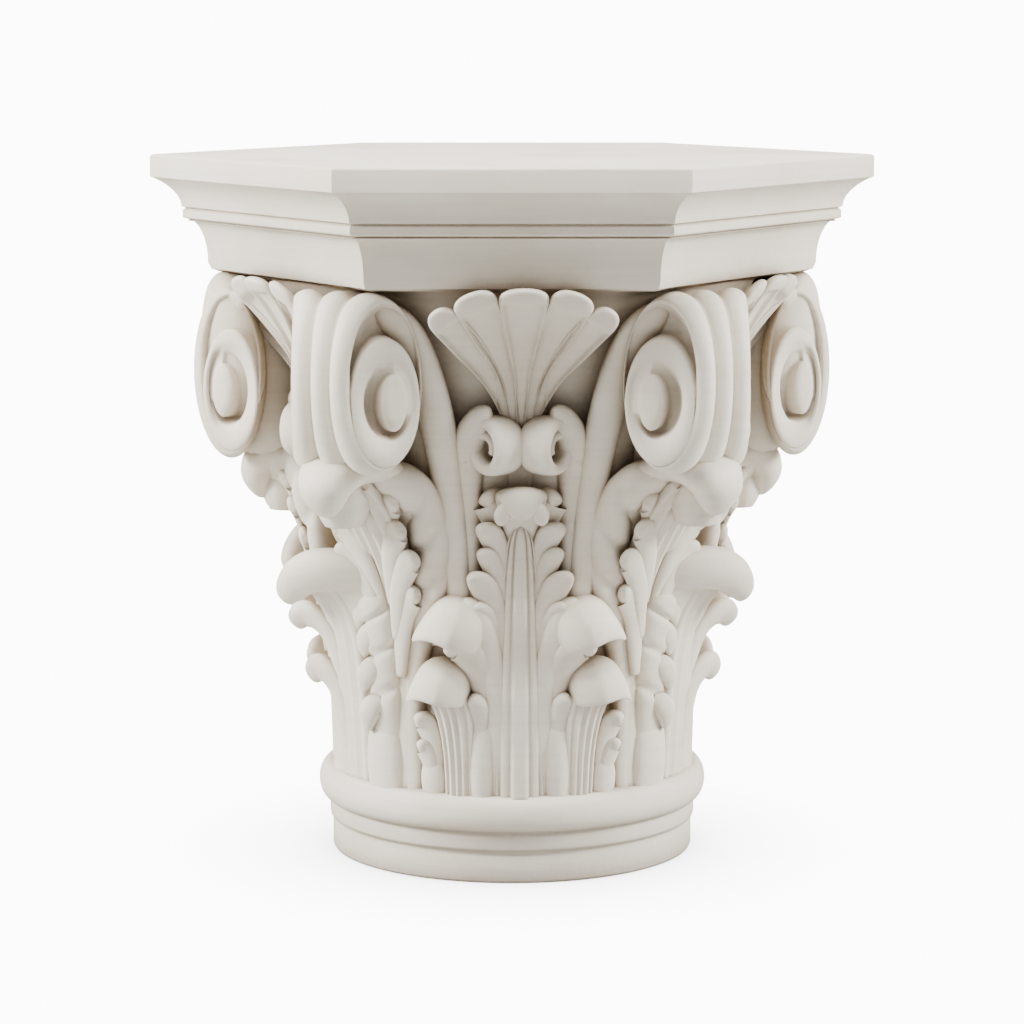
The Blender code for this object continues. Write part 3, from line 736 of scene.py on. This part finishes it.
def abacus_profile():
    """Setback of the mitred faces and height, from the underside up to the top."""
    cove_in = OVOLO_SET + FILLET_SET + COVE_SET
    points = [(cove_in + EDGE_ROUND, ABACUS_FOOT)]
    points.append((cove_in + EDGE_ROUND * 0.3, ABACUS_FOOT + EDGE_ROUND * 0.3))
    points.append((cove_in, ABACUS_FOOT + EDGE_ROUND))
    top = ABACUS_FOOT + EDGE_ROUND
    for k in range(1, CURVE_STEPS + 1):
        turn = math.pi * 0.5 * k / CURVE_STEPS
        set_back = cove_in - COVE_SET * (1.0 - math.cos(turn))
        points.append((set_back, top + COVE_DROP * math.sin(turn)))
    top += COVE_DROP
    points[-1] = (OVOLO_SET + FILLET_SET, top - QUIRK)
    points.append((OVOLO_SET + FILLET_SET + QUIRK, top - 0.3 * QUIRK))
    points.append((OVOLO_SET - 0.2 * QUIRK, top + 0.4 * QUIRK))
    points.append((OVOLO_SET - 0.7 * QUIRK, top + QUIRK))
    points.append((OVOLO_SET - 0.7 * QUIRK, top + FILLET_DROP - 1.6 * QUIRK))
    points.append((OVOLO_SET - 0.2 * QUIRK, top + FILLET_DROP - 1.1 * QUIRK))
    points.append((OVOLO_SET + 0.6 * QUIRK, top + FILLET_DROP - 0.5 * QUIRK))
    points.append((OVOLO_SET - FILLET_SET, top + FILLET_DROP + 0.3))
    top += FILLET_DROP
    for k in range(1, CURVE_STEPS + 1):
        turn = math.pi * 0.5 * k / CURVE_STEPS
        set_back = (OVOLO_SET - FILLET_SET) * math.cos(turn) ** 1.7
        points.append((set_back, top + OVOLO_DROP * math.sin(turn)))
    points.append((0.0, CAPITAL_HEIGHT - 2.6))
    points.append((0.3, CAPITAL_HEIGHT - 1.2))
    points.append((1.2, CAPITAL_HEIGHT - 0.3))
    points.append((2.6, CAPITAL_HEIGHT))
    return points


def abacus():
    """Mitred slab with its mouldings."""
    clay = Clay()
    rings = []
    for set_back, z in abacus_profile():
        corners = [Vector((x, y, z)) for x, y in hexagon(set_back)]
        ring = []
        for a, b in zip(corners, corners[1:] + corners[:1]):
            ring += [a.lerp(b, k / CURVE_STEPS) for k in range(CURVE_STEPS)]
        rings.append(ring)
    clay.rings(rings)
    piece = finished(built("abacus", clay))
    piece.data.set_sharp_from_angle(angle=math.radians(28.0))
    return piece


def noise(tree, vector, scale, detail):
    """Noise over the surface."""
    node = tree.nodes.new("ShaderNodeTexNoise")
    node.inputs["Scale"].default_value = scale
    node.inputs["Detail"].default_value = detail
    tree.links.new(vector, node.inputs["Vector"])
    return node.outputs["Fac"]


def ramp(tree, value, low, dark, high, light):
    """Colour that goes from dark to light as a value passes from low to high."""
    node = tree.nodes.new("ShaderNodeValToRGB")
    node.color_ramp.elements[0].position = low
    node.color_ramp.elements[0].color = (*dark, 1.0)
    node.color_ramp.elements[1].position = high
    node.color_ramp.elements[1].color = (*light, 1.0)
    tree.links.new(value, node.inputs["Fac"])
    return node.outputs["Color"]


def multiply(tree, under, over, factor):
    """Colour of one coat darkened by another."""
    node = tree.nodes.new("ShaderNodeMix")
    node.data_type = "RGBA"
    node.blend_type = "MULTIPLY"
    node.inputs["Factor"].default_value = factor
    tree.links.new(under, node.inputs["A"])
    tree.links.new(over, node.inputs["B"])
    return node.outputs["Result"]


def nearness(tree, distance, samples):
    """One in the open, less where other surfaces are close."""
    node = tree.nodes.new("ShaderNodeAmbientOcclusion")
    node.samples = samples
    node.inputs["Distance"].default_value = distance
    return node.outputs["AO"]


def plaster():
    """Matte off-white plaster with brush marks, mottling, and warm dirt and painted shade in the hollows."""
    material = bpy.data.materials.new("plaster")
    material.use_nodes = True
    tree = material.node_tree
    shader = tree.nodes["Principled BSDF"]
    shader.inputs["Roughness"].default_value = PLASTER_ROUGHNESS
    shader.inputs["Metallic"].default_value = 0.0
    place = tree.nodes.new("ShaderNodeNewGeometry").outputs["Position"]
    mottle = ramp(tree, noise(tree, place, 14.0, 5.0), 0.3, PLASTER_SHADE, 0.7, PLASTER_TONE)
    # Painted shade with some dirt: the colour darkens to a warm brown in hollows, creases and recesses, where
    # other surfaces are near
    dirt_and_shade = ramp(tree, nearness(tree, HOLLOW_WIDTH, 8), 0.12, HOLLOW_DIRT_AND_SHADE, 0.70, UNCHANGED)
    aged_and_shaded = multiply(tree, mottle, dirt_and_shade, 1.0)
    level = tree.nodes.new("ShaderNodeMapping")
    level.inputs["Scale"].default_value = (5.0, 5.0, 150.0)
    tree.links.new(place, level.inputs["Vector"])
    strokes = ramp(tree, noise(tree, level.outputs["Vector"], 2.2, 3.0), 0.30, BRUSH_TONE, 0.56, UNCHANGED)
    tree.links.new(multiply(tree, aged_and_shaded, strokes, BRUSH_STRENGTH), shader.inputs["Base Color"])
    grain = tree.nodes.new("ShaderNodeBump")
    grain.inputs["Strength"].default_value = 0.25
    grain.inputs["Distance"].default_value = 0.0012
    tree.links.new(noise(tree, place, 170.0, 4.0), grain.inputs["Height"])
    tree.links.new(grain.outputs["Normal"], shader.inputs["Normal"])
    return material


def lamp(name, place, power, size):
    """Square soft light that looks at the middle of the capital."""
    light = bpy.data.objects.new(name, bpy.data.lights.new(name, "AREA"))
    bpy.context.collection.objects.link(light)
    light.data.energy = power
    light.data.size = size
    light.location = place
    light.rotation_euler = (Vector((0, 0, 0.25)) - Vector(place)).to_track_quat("-Z", "Y").to_euler()


def floor_material():
    """Paper white to the eye with a soft contact shadow, and dull to the light that it throws back."""
    material = bpy.data.materials.new("floor")
    material.use_nodes = True
    tree = material.node_tree
    shader = tree.nodes["Principled BSDF"]
    shader.inputs["Base Color"].default_value = (0.35, 0.35, 0.34, 1.0)
    shader.inputs["Roughness"].default_value = 0.9
    glow = tree.nodes.new("ShaderNodeEmission")
    glow.inputs["Strength"].default_value = FLOOR_GLOW
    shade = ramp(tree, nearness(tree, 0.16, 16), 0.15, CONTACT_SHADOW, 0.97, (1.0, 1.0, 1.0))
    tree.links.new(shade, glow.inputs["Color"])
    seen_or_lit(tree, shader.outputs["BSDF"], glow.outputs["Emission"], tree.nodes["Material Output"])
    return material


def seen_or_lit(tree, light, sight, output):
    """One shader for the light that bounces and another for the eye."""
    ray = tree.nodes.new("ShaderNodeLightPath")
    mix = tree.nodes.new("ShaderNodeMixShader")
    tree.links.new(ray.outputs["Is Camera Ray"], mix.inputs["Fac"])
    tree.links.new(light, mix.inputs[1])
    tree.links.new(sight, mix.inputs[2])
    tree.links.new(mix.outputs["Shader"], output.inputs["Surface"])


def studio():
    """White surround that is seen bright and lights softly."""
    world = bpy.data.worlds.new("studio")
    bpy.context.scene.world = world
    world.use_nodes = True
    tree = world.node_tree
    soft = tree.nodes["Background"]
    soft.inputs["Color"].default_value = (1.0, 1.0, 1.0, 1.0)
    soft.inputs["Strength"].default_value = SOFT_LIGHT
    seen = tree.nodes.new("ShaderNodeBackground")
    seen.inputs["Color"].default_value = (1.0, 1.0, 1.0, 1.0)
    seen.inputs["Strength"].default_value = FLOOR_GLOW
    seen_or_lit(tree, soft.outputs["Background"], seen.outputs["Background"], tree.nodes["World Output"])


def stage():
    """Pale floor, soft lights and the camera of the picture."""
    mesh = bpy.data.meshes.new("floor")
    mesh.from_pydata([(-30, -30, 0), (30, -30, 0), (30, 30, 0), (-30, 30, 0)], [], [(0, 1, 2, 3)])
    floor = bpy.data.objects.new("floor", mesh)
    bpy.context.collection.objects.link(floor)
    mesh.materials.append(floor_material())
    camera = bpy.data.objects.new("camera", bpy.data.cameras.new("camera"))
    bpy.context.collection.objects.link(camera)
    camera.data.lens = CAMERA_LENS
    camera.data.sensor_width = 36.0
    camera.location = CAMERA_PLACE
    camera.rotation_euler = (math.radians(90.0 - CAMERA_PITCH), 0.0, 0.0)
    bpy.context.scene.camera = camera
    studio()
    lamp("left_light", (-2.5, -0.3, 1.3), 170.0, 1.0)
    lamp("right_light", (2.5, -0.2, 1.3), 150.0, 1.0)
    lamp("top_light", (-0.3, -0.9, 3.0), 170.0, 1.2)


PLASTER = plaster()
stage()
foot()
bell()
abacus()
face_leaf()
corner_leaf()
side_leaf()
edge_leaf()
palmette(0.0, "front_palmette", FRONT_AND_BACK)
palmette(FACE_ANGLE, "side_palmette", QUARTERS)
volutes()
